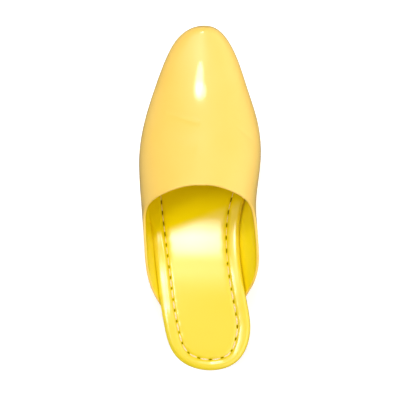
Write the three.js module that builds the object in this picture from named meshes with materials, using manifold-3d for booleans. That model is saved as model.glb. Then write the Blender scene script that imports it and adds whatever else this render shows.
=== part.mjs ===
// A slip-on leather slipper for the left foot, open at the back.
// Millimetres; +Z up, +Y towards the toe, +X towards the inner side of the foot.
import * as THREE from "three";
import { mergeVertices } from "three/addons/utils/BufferGeometryUtils.js";
import Module from "manifold-3d";

const wasm = await Module();
wasm.setup();

// Driving dimensions
const LENGTH = 268;
const WALL = 2;
const GAP = 0.3;
const SOLE_THICKNESS = 4;
const HEEL_LIFT = 15;
const HEEL_LENGTH = 56;
const HEEL_TAPER = 1.6;
const TOE_SPRING = 8;
const ARCH_FROM = 50;
const ARCH_TO = 172;
const SPRING_FROM = 196;

// Insole section, measured in from its edge and up from the sole
const RIM_WIDEST = 4.8;
const RIM_TOP = 8.2;
const RIM_CREST_IN = 4.4;
const GROOVE_IN = 10.2;
const GROOVE_IN_HEEL = 8.5;
const GROOVE_TOP = 6;
const PANEL_STEP = 2.4;
const PANEL_TOP = 7;
const PANEL_CROWN = 0.6;

// Upper section
const GIRTH_SHARE = 0.3;
const GIRTH_STEP = 0.3;
const CREST_SHARE = 0.52;
const FULLNESS = 0.09;
const MARGIN_IN = 8;
const MARGIN_FROM = 47;

// How finely the curved pieces are cut
const OUTLINE_POINTS = 80;
const WALL_LINES = 52;
const WALL_ROWS = 34;
const CAP_COLUMNS = 6;

// Outer edge of the insole at each station from the heel
const INSOLE_EDGE = [
  { y: 0, lateral: 8, medial: 8 },
  { y: 5.7, lateral: -12.6, medial: 27.2 },
  { y: 19.7, lateral: -23.8, medial: 36.8 },
  { y: 36, lateral: -28, medial: 39 },
  { y: 52, lateral: -30.7, medial: 36.6 },
  { y: 75, lateral: -33.6, medial: 32.6 },
  { y: 101, lateral: -37, medial: 30.6 },
  { y: 124, lateral: -39.8, medial: 32.8 },
  { y: 147, lateral: -42, medial: 39.4 },
  { y: 168, lateral: -42.9, medial: 43.2 },
  { y: 192, lateral: -39.2, medial: 41 },
  { y: 216, lateral: -32.6, medial: 34.2 },
  { y: 240, lateral: -23.8, medial: 26.2 },
  { y: 256, lateral: -13.6, medial: 17.2 },
  { y: 263.6, lateral: 3.4, medial: 3.4 },
];

// Upper at each station: lower edge, widest line and ridge height over the sole
const UPPER_SECTIONS = [
  { y: 40, footLateral: -30, footMedial: 39.4, girthLateral: -38, girthMedial: 45, ridge: 80 },
  { y: 62, footLateral: -32.2, footMedial: 35.2, girthLateral: -40, girthMedial: 45, ridge: 77 },
  { y: 85, footLateral: -35.3, footMedial: 31.7, girthLateral: -42.1, girthMedial: 45.4, ridge: 73.5 },
  { y: 110, footLateral: -38.7, footMedial: 31, girthLateral: -43.8, girthMedial: 44.2, ridge: 69 },
  { y: 130, footLateral: -41.2, footMedial: 35.6, girthLateral: -45.5, girthMedial: 43.4, ridge: 64 },
  { y: 150, footLateral: -43.2, footMedial: 41.2, girthLateral: -47, girthMedial: 45.7, ridge: 57.5 },
  { y: 168, footLateral: -44.1, footMedial: 44.4, girthLateral: -47.1, girthMedial: 47.3, ridge: 50 },
  { y: 192, footLateral: -40.5, footMedial: 42.3, girthLateral: -43.4, girthMedial: 45, ridge: 40.5 },
  { y: 216, footLateral: -33.9, footMedial: 35.6, girthLateral: -36.3, girthMedial: 37.9, ridge: 31.4 },
  { y: 240, footLateral: -25.6, footMedial: 28, girthLateral: -27.5, girthMedial: 29.9, ridge: 23.8 },
  { y: 258, footLateral: -16.3, footMedial: 19.6, girthLateral: -17.2, girthMedial: 20.5, ridge: 19.2 },
  { y: 264, footLateral: -9.5, footMedial: 14.3, girthLateral: -10, girthMedial: 14.8, ridge: 15.6 },
  { y: 268, footLateral: 3.4, footMedial: 3.4, girthLateral: 3.4, girthMedial: 3.4, ridge: 0 },
];

// Height of the topline over the sole at each station
const TOPLINE = [
  { y: 40, lateral: -9, medial: -17 },
  { y: 50, lateral: 0, medial: -7.5 },
  { y: 57.5, lateral: 6.5, medial: 0.6 },
  { y: 66, lateral: 12.6, medial: 9.6 },
  { y: 78, lateral: 18.6, medial: 17.6 },
  { y: 92, lateral: 23, medial: 23 },
  { y: 106, lateral: 27, medial: 27 },
  { y: 118, lateral: 32, medial: 31.6 },
  { y: 127, lateral: 40.5, medial: 39.5 },
  { y: 134, lateral: 50.5, medial: 49.5 },
  { y: 139, lateral: 56.4, medial: 56 },
  { y: 144.2, lateral: 59.9, medial: 59.9 },
];
const VAMP_POINT = 144.2;

// Natural cubic curve through the given values
function curve(at, values) {
  const last = at.length - 1;
  const bend = new Array(last + 1).fill(0);
  const share = new Array(last + 1).fill(0);
  for (let i = 1; i < last; i += 1) {
    const before = at[i] - at[i - 1];
    const after = at[i + 1] - at[i];
    const pull = (values[i + 1] - values[i]) / after - (values[i] - values[i - 1]) / before;
    const pivot = 2 * (before + after) - before * share[i - 1];
    share[i] = after / pivot;
    bend[i] = (6 * pull - before * bend[i - 1]) / pivot;
  }
  for (let i = last - 1; i > 0; i -= 1) {
    bend[i] -= share[i] * bend[i + 1];
  }
  return (x) => {
    let i = 0;
    while (i < last - 1 && x > at[i + 1]) i += 1;
    const step = at[i + 1] - at[i];
    const a = (at[i + 1] - x) / step;
    const b = 1 - a;
    const sag = ((a * a * a - a) * bend[i] + (b * b * b - b) * bend[i + 1]) * (step * step) / 6;
    return a * values[i] + b * values[i + 1] + sag;
  };
}

// Stations are spread by angle, so that the rounded ends are followed closely
const angleOf = (y, length) => Math.acos(THREE.MathUtils.clamp(1 - (2 * y) / length, -1, 1));
const stationOf = (angle, length) => (length * (1 - Math.cos(angle))) / 2;

// Lateral edge up to the toe and medial edge back, as one smooth line over the angle
function edgeCurve(rows, lateral, medial, closed) {
  const length = rows.at(-1).y;
  const up = rows.map((row) => [angleOf(row.y, length), row[lateral]]);
  const back = rows.slice(0, -1).reverse().map((row) => [2 * Math.PI - angleOf(row.y, length), row[medial]]);
  let knots = [...up, ...back];
  if (closed) {
    const turn = 2 * Math.PI;
    const loop = knots.slice(0, -1);
    const ahead = loop.slice(0, 5).map(([a, x]) => [a + turn, x]);
    const behind = loop.slice(-4).map(([a, x]) => [a - turn, x]);
    knots = [...behind, ...loop, ...ahead];
  }
  return curve(knots.map((k) => k[0]), knots.map((k) => k[1]));
}

// Sole profile from heel to toe
const smooth = (x, from, to) => THREE.MathUtils.smootherstep(x, from, to);

function soleUnder(y) {
  const arch = HEEL_LIFT * (1 - smooth(y, ARCH_FROM, ARCH_TO));
  const spring = TOE_SPRING * (Math.max(0, y - SPRING_FROM) / (LENGTH - SPRING_FROM)) ** 2;
  return arch + spring;
}

const soleTop = (y) => soleUnder(y) + SOLE_THICKNESS;

// Insole outline, and the same outline taken in or let out
const INSOLE_LENGTH = INSOLE_EDGE.at(-1).y;
const insoleEdge = edgeCurve(INSOLE_EDGE, "lateral", "medial", true);
const insolePoint = (angle) => new THREE.Vector2(insoleEdge(angle), stationOf(angle, INSOLE_LENGTH));

function insetPoint(angle, inset) {
  const step = 1e-3;
  const along = insolePoint(angle + step).sub(insolePoint(angle - step)).normalize();
  return insolePoint(angle).addScaledVector(new THREE.Vector2(along.y, -along.x), inset);
}

function ring(angles, inset, height) {
  return angles.map((angle) => {
    const p = insetPoint(angle, typeof inset === "function" ? inset(angle) : inset);
    return new THREE.Vector3(p.x, p.y, height(p.y));
  });
}

const allRound = Array.from({ length: OUTLINE_POINTS }, (_, i) => (2 * Math.PI * i) / OUTLINE_POINTS);

// Closed mesh from triangles of points: doubled points join and flat triangles drop out
function closedMesh(triangles) {
  const loose = new THREE.BufferGeometry();
  const flat = triangles.flat().flatMap((p) => [p.x, p.y, p.z]);
  loose.setAttribute("position", new THREE.Float32BufferAttribute(flat, 3));
  const merged = mergeVertices(loose, 1e-4);
  const index = merged.index.array;
  const kept = [];
  for (let i = 0; i < index.length; i += 3) {
    const [a, b, c] = [index[i], index[i + 1], index[i + 2]];
    if (a !== b && b !== c && c !== a) kept.push(a, b, c);
  }
  merged.setIndex(kept);
  return merged;
}

const quad = (a, b, c, d) => [[a, b, c], [a, c, d]];

// Cap across a ring, from its lateral points to the medial ones facing them
function cap(points, up, columns, lift) {
  const count = points.length;
  const half = Math.floor(count / 2);
  const rung = (i) => {
    const left = points[i];
    const right = points[(count - i) % count];
    return Array.from({ length: columns + 1 }, (_, j) => {
      const p = left.clone().lerp(right, j / columns);
      p.z += lift(left.distanceTo(right), j / columns);
      return p;
    });
  };
  const faces = [];
  for (let i = 0; i < half; i += 1) {
    const near = rung(i);
    const far = rung(i + 1);
    for (let j = 0; j < columns; j += 1) {
      const corners = [near[j], near[j + 1], far[j + 1], far[j]];
      faces.push(...quad(...(up ? corners : corners.reverse())));
    }
  }
  return faces;
}

// Solid from a stack of rings, lowest first, closed by a cap at each end
function stackSolid(rings, columns, crown) {
  const faces = [...cap(rings[0], false, 1, () => 0), ...cap(rings.at(-1), true, columns, crown)];
  for (let k = 0; k + 1 < rings.length; k += 1) {
    const low = rings[k];
    const high = rings[k + 1];
    for (let i = 0; i < low.length; i += 1) {
      const next = (i + 1) % low.length;
      faces.push(...quad(low[i], high[i], high[next], low[next]));
    }
  }
  return closedMesh(faces);
}

// Solid between an outer and an inner grid of the same size, closed along all four borders
function shellSolid(outer, inner) {
  const rows = outer.length - 1;
  const lines = outer[0].length - 1;
  const faces = [];
  for (let i = 0; i < rows; i += 1) {
    for (let j = 0; j < lines; j += 1) {
      faces.push(...quad(outer[i][j], outer[i + 1][j], outer[i + 1][j + 1], outer[i][j + 1]));
      faces.push(...quad(inner[i][j], inner[i][j + 1], inner[i + 1][j + 1], inner[i + 1][j]));
    }
  }
  for (let i = 0; i < rows; i += 1) {
    faces.push(...quad(outer[i][0], inner[i][0], inner[i + 1][0], outer[i + 1][0]));
    faces.push(...quad(outer[i][lines], outer[i + 1][lines], inner[i + 1][lines], inner[i][lines]));
  }
  for (let j = 0; j < lines; j += 1) {
    faces.push(...quad(outer[rows][j], inner[rows][j], inner[rows][j + 1], outer[rows][j + 1]));
    faces.push(...quad(outer[0][j], outer[0][j + 1], inner[0][j + 1], inner[0][j]));
  }
  return closedMesh(faces);
}

// Manifold bodies for joining two closed meshes
function bodyOf(geometry) {
  const mesh = new wasm.Mesh({
    numProp: 3,
    vertProperties: new Float32Array(geometry.attributes.position.array),
    triVerts: new Uint32Array(geometry.index.array),
  });
  return new wasm.Manifold(mesh);
}

function geometryOf(body) {
  const mesh = body.getMesh();
  const geometry = new THREE.BufferGeometry();
  geometry.setAttribute("position", new THREE.BufferAttribute(mesh.vertProperties, 3));
  geometry.setIndex(new THREE.BufferAttribute(mesh.triVerts, 1));
  return geometry;
}

// Upper
const footLine = edgeCurve(UPPER_SECTIONS, "footLateral", "footMedial", false);
const girthLine = edgeCurve(UPPER_SECTIONS, "girthLateral", "girthMedial", false);
const ridgeRows = UPPER_SECTIONS.map((row) => [angleOf(row.y, LENGTH), row.ridge]);
const ridgeMirror = UPPER_SECTIONS.slice(-4, -1).reverse();
const ridgeBeyond = ridgeMirror.map((row) => [2 * Math.PI - angleOf(row.y, LENGTH), -row.ridge]);
const ridgeKnots = [...ridgeRows, ...ridgeBeyond];
const ridgeCurve = curve(ridgeKnots.map((k) => k[0]), ridgeKnots.map((k) => k[1]));
const toplineAt = TOPLINE.map((row) => row.y);
const toplineCurve = {
  lateral: curve(toplineAt, TOPLINE.map((row) => row.lateral)),
  medial: curve(toplineAt, TOPLINE.map((row) => row.medial)),
};

// Point of the upper's section at a station, offset inwards by the wall for the inner face.
// The share runs from the lateral lower edge at 0 over the ridge at 0.5 to the medial one at 1.
function upperPoint(share, y, wall) {
  const medial = share > 0.5;
  const up = medial ? 2 - 2 * share : 2 * share;
  const toward = medial ? -1 : 1;
  const angle = angleOf((y * LENGTH) / (LENGTH - wall), LENGTH);
  const here = medial ? 2 * Math.PI - angle : angle;
  const girths = [girthLine(angle), girthLine(2 * Math.PI - angle)];
  const slim = Math.min(1, (girths[1] - girths[0]) / (8 * WALL));
  const ridge = ridgeCurve(angle) - wall * slim;
  const girthHeight = GIRTH_SHARE * ridgeCurve(angle);
  const crest = THREE.MathUtils.lerp(girths[0], girths[1], CREST_SHARE);
  const lean = (Math.PI / 2) * Math.abs(girthLine(here) - footLine(here)) / Math.max(girthHeight, 1e-6);
  const girth = girthLine(here) + toward * wall * slim;
  const foot = footLine(here) + toward * wall * slim * Math.hypot(1, lean);
  let x;
  let z;
  if (up < GIRTH_STEP) {
    const climb = up / GIRTH_STEP;
    x = foot + (girth - foot) * Math.sin((climb * Math.PI) / 2);
    z = girthHeight * climb;
  } else {
    const turn = ((up - GIRTH_STEP) / (1 - GIRTH_STEP)) * (Math.PI / 2);
    x = crest + (girth - crest) * Math.cos(turn) * (1 + FULLNESS * Math.sin(turn) ** 2);
    z = girthHeight + (ridge - girthHeight) * Math.sin(turn) * (1 + FULLNESS * Math.cos(turn) ** 2);
  }
  return new THREE.Vector3(x, y, soleTop(y) + GAP + z);
}

// Station at which the topline crosses a line of constant share
function toplineStation(share) {
  const side = share > 0.5 ? toplineCurve.medial : toplineCurve.lateral;
  let low = 40;
  let high = VAMP_POINT;
  for (let i = 0; i < 50; i += 1) {
    const mid = (low + high) / 2;
    const over = upperPoint(share, mid, 0).z - soleTop(mid) - GAP - side(mid);
    if (over > 0) low = mid;
    else high = mid;
  }
  return (low + high) / 2;
}

// Lines of the wall, closer together where the topline runs along them
const wallShares = Array.from({ length: WALL_LINES + 1 }, (_, i) => {
  const t = i / WALL_LINES;
  return t - (0.45 / (4 * Math.PI)) * Math.sin(4 * Math.PI * t + Math.PI);
});

function wallGrid(wall) {
  return Array.from({ length: WALL_ROWS + 1 }, (_, i) => {
    const t = i / WALL_ROWS;
    const spread = t * t * (2 - t);
    return wallShares.map((share) => {
      const tip = LENGTH - wall;
      return upperPoint(share, tip - (tip - toplineStation(share)) * spread, wall);
    });
  });
}

const wallBody = bodyOf(shellSolid(wallGrid(0), wallGrid(WALL)));

// Lower edge of the upper, turned in between sole and insole
const lateralEnd = angleOf(MARGIN_FROM, INSOLE_LENGTH);
const medialEnd = 2 * Math.PI - angleOf(MARGIN_FROM, INSOLE_LENGTH);
const marginAngles = Array.from(
  { length: OUTLINE_POINTS + 1 },
  (_, i) => lateralEnd + ((medialEnd - lateralEnd) * i) / OUTLINE_POINTS,
);

function marginOuter(angle) {
  const upperAngle = angle < Math.PI
    ? angleOf(insolePoint(angle).y, LENGTH)
    : 2 * Math.PI - angleOf(insolePoint(angle).y, LENGTH);
  const near = insetPoint(angle, 0);
  const reach = Math.abs(footLine(upperAngle) - near.x);
  return near.x > 0 === footLine(upperAngle) > near.x ? -reach : reach;
}

function marginGrid(height) {
  return marginAngles.map((angle) => {
    const outer = insetPoint(angle, THREE.MathUtils.clamp(marginOuter(angle), -1, 1.6) + 0.6);
    const inner = insetPoint(angle, MARGIN_IN);
    return [outer, inner].map((p) => new THREE.Vector3(p.x, p.y, soleTop(p.y) + GAP + height));
  });
}

const marginBody = bodyOf(shellSolid(marginGrid(0.05), marginGrid(WALL - 0.4)));
const upper = geometryOf(wallBody.add(marginBody));

// Insole: underside stepped over the turned edge, rolled rim, groove and a lightly crowned panel
const stepped = (y) => (WALL - 0.4 + GAP) * smooth(y, MARGIN_FROM - 7, MARGIN_FROM - 1);
const over = (height) => (y) => soleTop(y) + GAP + height;
const overStep = (share) => (y) => soleTop(y) + GAP + THREE.MathUtils.lerp(stepped(y), RIM_WIDEST, share);
const grooveIn = (angle) => {
  const aside = smooth(stationOf(angle, INSOLE_LENGTH), 0, 26);
  return THREE.MathUtils.lerp(GROOVE_IN_HEEL, GROOVE_IN, aside);
};
const insoleRings = [
  ring(allRound, MARGIN_IN + 0.5, over(0)),
  ring(allRound, MARGIN_IN + 0.5, overStep(0)),
  ring(allRound, 3, overStep(0)),
  ring(allRound, 1.3, overStep(0.2)),
  ring(allRound, 0.35, overStep(0.55)),
  ring(allRound, 0, over(RIM_WIDEST)),
  ring(allRound, 0.5, over(RIM_WIDEST + 1.8)),
  ring(allRound, 1.8, over(RIM_TOP - 0.6)),
  ring(allRound, RIM_CREST_IN, over(RIM_TOP)),
  ring(allRound, 7, over(RIM_TOP - 0.5)),
  ring(allRound, grooveIn, over(GROOVE_TOP)),
  ring(allRound, (a) => grooveIn(a) + PANEL_STEP, over(PANEL_TOP)),
];
const crown = (width, j) => PANEL_CROWN * Math.min(1, width / 40) * Math.sin(Math.PI * j);
const insole = stackSolid(insoleRings, CAP_COLUMNS, crown);

const level = () => 0;

// Outsole: a sheet with eased edges, a little inside the insole at heel and waist
const letOut = (angle) => {
  const y = stationOf(angle, INSOLE_LENGTH);
  return 1.2 - 2.6 * smooth(y, 108, 152);
};
const outsole = stackSolid([
  ring(allRound, (a) => letOut(a) + 0.9, soleUnder),
  ring(allRound, letOut, (y) => soleUnder(y) + 0.9),
  ring(allRound, letOut, (y) => soleTop(y) - 0.5),
  ring(allRound, (a) => letOut(a) + 0.5, soleTop),
], 1, level);

// Heel: a low block under the heel seat with a straight breast
const breast = angleOf(HEEL_LENGTH, INSOLE_LENGTH);
const heelSteps = 16;
const heelSide = Array.from({ length: heelSteps + 1 }, (_, i) => (breast * i) / heelSteps);
const heelAngles = [...heelSide, ...heelSide.slice(1).reverse().map((a) => 2 * Math.PI - a)];
const heelUnder = (y) => soleUnder(y) - GAP;
const heel = stackSolid([
  ring(heelAngles, 2.2 + HEEL_TAPER + 0.6, () => 0),
  ring(heelAngles, 2.2 + HEEL_TAPER, () => 0.6),
  ring(heelAngles, 2.2, heelUnder),
], 1, level);

// Finishes
const yellowCalf = new THREE.MeshStandardMaterial({ color: 0xf7d35c, roughness: 0.4, metalness: 0 });
const yellowKid = new THREE.MeshStandardMaterial({ color: 0xf4d42a, roughness: 0.45, metalness: 0 });
const soleLeather = new THREE.MeshStandardMaterial({ color: 0xb98a55, roughness: 0.6, metalness: 0 });
const heelLeather = new THREE.MeshStandardMaterial({ color: 0xa97a48, roughness: 0.6, metalness: 0 });

// Assembly, centred over the origin
const slipper = new THREE.Group();
slipper.name = "slipper";
const pieces = [
  ["upper", upper, yellowCalf],
  ["insole", insole, yellowKid],
  ["outsole", outsole, soleLeather],
  ["heel", heel, heelLeather],
];
for (const [name, geometry, material] of pieces) {
  const mesh = new THREE.Mesh(geometry, material);
  mesh.name = name;
  slipper.add(mesh);
}
const box = new THREE.Box3().setFromObject(slipper);
const centre = box.getCenter(new THREE.Vector3());
slipper.position.set(-centre.x, -centre.y, -box.min.z);

export default slipper;
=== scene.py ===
"""Looks of a slip-on leather slipper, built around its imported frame.

Lengths are in millimetres from the back of the heel until a mesh is made:
x towards the inner side of the foot, y towards the toe, z up from the floor.
"""

import logging
from dataclasses import dataclass, field
from enum import Enum
from typing import NamedTuple

import bpy
import numpy as np
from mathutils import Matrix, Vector
from numpy.typing import NDArray

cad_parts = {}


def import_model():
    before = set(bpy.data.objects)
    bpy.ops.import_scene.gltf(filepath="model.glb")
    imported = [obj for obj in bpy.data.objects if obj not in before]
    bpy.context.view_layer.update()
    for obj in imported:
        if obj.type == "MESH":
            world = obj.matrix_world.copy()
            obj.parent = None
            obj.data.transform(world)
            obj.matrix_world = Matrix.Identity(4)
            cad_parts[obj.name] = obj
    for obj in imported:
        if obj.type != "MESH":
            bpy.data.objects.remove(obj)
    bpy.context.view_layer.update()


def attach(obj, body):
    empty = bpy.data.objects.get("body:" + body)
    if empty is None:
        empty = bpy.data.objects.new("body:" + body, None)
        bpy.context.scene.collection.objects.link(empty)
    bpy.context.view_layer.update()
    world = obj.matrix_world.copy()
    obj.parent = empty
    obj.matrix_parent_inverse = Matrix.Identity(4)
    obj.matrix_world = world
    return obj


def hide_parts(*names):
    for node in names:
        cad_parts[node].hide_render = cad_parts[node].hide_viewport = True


Array = NDArray[np.float64]
Numbers = NDArray[np.int64]
Span = tuple[float, float]
Place = tuple[float, float]
Colour = tuple[float, float, float, float]
LOG = logging.getLogger("slipper")
# A millimetre in metres, and the frame's origin half way along the slipper
METRES = 0.001
HALF_LENGTH = 134.0
TURN = 2 * np.pi
# Step of a direction taken as a difference, and a size that counts as none
SMALL_TURN = 1e-3
TINY = 1e-9
# Rows that carry a curve on past the heel and past the toe, and halvings of a search
HEEL_ROWS = 4
TOE_ROWS = 3
HALVINGS = 48
LEATHER_IOR = 1.5


# Shared mathematics


def linear(code: str) -> Colour:
    """Turns an sRGB hex colour into linear light.

    Args:
        code: six hex digits.

    Returns:
        Red, green, blue and an alpha of one.
    """
    srgb = np.array([int(code[i : i + 2], 16) for i in (0, 2, 4)]) / 255
    bent = ((srgb + 0.055) / 1.055) ** 2.4
    red, green, blue = np.where(srgb <= 0.04045, srgb / 12.92, bent)
    return float(red), float(green), float(blue), 1.0


def ease(x: Array, start: float, end: float) -> Array:
    """Rises smoothly from 0 at start to 1 at end (the fifth-order step)."""
    t = np.clip((np.asarray(x, float) - start) / (end - start), 0, 1)
    return t * t * t * (t * (6 * t - 15) + 10)


def between(x: Array, rise: Span, fall: Span) -> Array:
    """Rises from 0 to 1 over one span and falls back to 0 over the other."""
    return ease(x, *rise) * (1 - ease(x, *fall))


def unit(vectors: Array) -> Array:
    """Vectors on a last axis, each brought to a length of one."""
    return vectors / np.linalg.norm(vectors, axis=-1, keepdims=True)


def travelled(path: Array) -> Array:
    """Length of the way along a path of points, from 0 at its first point."""
    run = np.linalg.norm(np.diff(path, axis=0), axis=-1)
    return np.concatenate([[0], np.cumsum(run)])


class Curve:
    """A natural cubic curve through given values, one or many at a time."""

    def __init__(self, at: Array, values: Array) -> None:
        """Solves the curve's second derivatives, which vanish at both ends.

        Args:
            at: rising places, one for each value.
            values: what the curve passes through; further axes are separate curves.
        """
        self.at = np.asarray(at, float)
        self.values = np.asarray(values, float)
        gap = np.diff(self.at)
        inner = np.arange(1, len(self.at) - 1)
        system = np.eye(len(self.at))
        system[inner, inner - 1] = gap[:-1]
        system[inner, inner] = 2 * (gap[:-1] + gap[1:])
        system[inner, inner + 1] = gap[1:]
        rise = (np.diff(self.values, axis=0).T / gap).T
        pull = np.zeros_like(self.values)
        pull[1:-1] = 6 * np.diff(rise, axis=0)
        self.bend = np.linalg.solve(system, pull)

    def __call__(self, x: Array) -> Array:
        """Reads the curve.

        Args:
            x: places of any shape for a single curve, or a row of places.

        Returns:
            The values there.
        """
        x = np.asarray(x, float)
        i = np.clip(np.searchsorted(self.at, x) - 1, 0, len(self.at) - 2)
        gap = self.at[i + 1] - self.at[i]
        a = (self.at[i + 1] - x) / gap
        spare = (np.newaxis,) * (self.values.ndim - 1)
        a, gap = a[(..., *spare)], gap[(..., *spare)]
        b = 1 - a
        sag = (a**3 - a) * self.bend[i] + (b**3 - b) * self.bend[i + 1]
        return a * self.values[i] + b * self.values[i + 1] + sag * gap * gap / 6


# The last: every outline and section that the pieces share


class SidesRow(NamedTuple):
    """A size on the outer and on the inner side at one station."""

    y: float
    lateral: float
    medial: float


class UpperRow(NamedTuple):
    """Upper at one station: lower edge, widest line and ridge over the sole."""

    y: float
    foot_lateral: float
    foot_medial: float
    girth_lateral: float
    girth_medial: float
    ridge: float


# Outer edge of the insole; both sides meet at its two ends
INSOLE_EDGE = (
    SidesRow(0, 8, 8),
    SidesRow(5.7, -12.6, 27.2),
    SidesRow(19.7, -23.8, 36.8),
    SidesRow(36, -28, 39),
    SidesRow(52, -30.7, 36.6),
    SidesRow(75, -33.6, 32.6),
    SidesRow(101, -37, 30.6),
    SidesRow(124, -39.8, 32.8),
    SidesRow(147, -42, 39.4),
    SidesRow(168, -42.9, 43.2),
    SidesRow(192, -39.2, 41),
    SidesRow(216, -32.6, 34.2),
    SidesRow(240, -23.8, 26.2),
    SidesRow(256, -13.6, 17.2),
    SidesRow(263.6, 3.4, 3.4),
)
UPPER_SECTIONS = (
    UpperRow(40, -30, 39.4, -38, 45, 80),
    UpperRow(62, -32.2, 35.2, -40, 45, 77),
    UpperRow(85, -35.3, 31.7, -42.1, 45.4, 73.5),
    UpperRow(110, -38.7, 31, -43.8, 44.2, 69),
    UpperRow(130, -41.2, 35.6, -45.5, 43.4, 64),
    UpperRow(150, -43.2, 41.2, -47, 45.7, 57.5),
    UpperRow(168, -44.1, 44.4, -47.1, 47.3, 50),
    UpperRow(192, -40.5, 42.3, -43.4, 45, 40.5),
    UpperRow(216, -33.9, 35.6, -36.3, 37.9, 31.4),
    UpperRow(240, -25.6, 28, -27.5, 29.9, 23.8),
    UpperRow(258, -16.3, 19.6, -17.2, 20.5, 19.2),
    UpperRow(264, -9.5, 14.3, -10, 14.8, 16.5),
    UpperRow(268, 3.4, 3.4, 3.4, 3.4, 0),
)
# Height of the topline over the sole
TOPLINE = (
    SidesRow(40, -9, -17),
    SidesRow(50, 0, -7.5),
    SidesRow(57.5, 6.5, 0.6),
    SidesRow(66, 12.6, 9.6),
    SidesRow(78, 18.6, 17.6),
    SidesRow(92, 23, 23),
    SidesRow(106, 27, 27),
    SidesRow(118, 32, 31.6),
    SidesRow(127, 40.5, 39.5),
    SidesRow(134, 50.5, 49.5),
    SidesRow(139, 56.4, 56),
    SidesRow(144.2, 59.9, 59.9),
)


def columns(table: tuple[NamedTuple, ...]) -> dict[str, Array]:
    """Columns of a table of rows, by their names."""
    return dict(zip(table[0]._fields, np.array(table).T, strict=True))


def angle_of(y: Array, length: float) -> Array:
    """Angle whose station is y: the arc cosine, so both ends are finely spaced."""
    return np.arccos(np.clip(1 - 2 * np.asarray(y, float) / length, -1, 1))


def station_of(angle: Array, length: float) -> Array:
    """Station of an angle that runs 0 at the heel, half a turn at the toe."""
    return length * (1 - np.cos(angle)) / 2


def edge_curve(y: Array, lateral: Array, medial: Array, closed: bool) -> Curve:
    """Runs one smooth line up the lateral edge to the toe and back down the medial.

    A closed line is carried on past the heel both ways by a few of its own rows, so
    that its free ends lie outside the turn that is read.

    Args:
        y: stations of the rows; the last is the toe, where both edges meet.
        lateral: lateral x at each station.
        medial: medial x at each station.
        closed: whether the line also closes round the heel.

    Returns:
        x as a curve of the angle.
    """
    angle = angle_of(y, float(y[-1]))
    at = np.concatenate([angle, TURN - angle[-2::-1]])
    x = np.concatenate([lateral, medial[-2::-1]])
    if closed:
        at, x = at[:-1], x[:-1]
        at = np.concatenate([at[-HEEL_ROWS:] - TURN, at, at[: HEEL_ROWS + 1] + TURN])
        x = np.concatenate([x[-HEEL_ROWS:], x, x[: HEEL_ROWS + 1]])
    return Curve(at, x)


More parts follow.
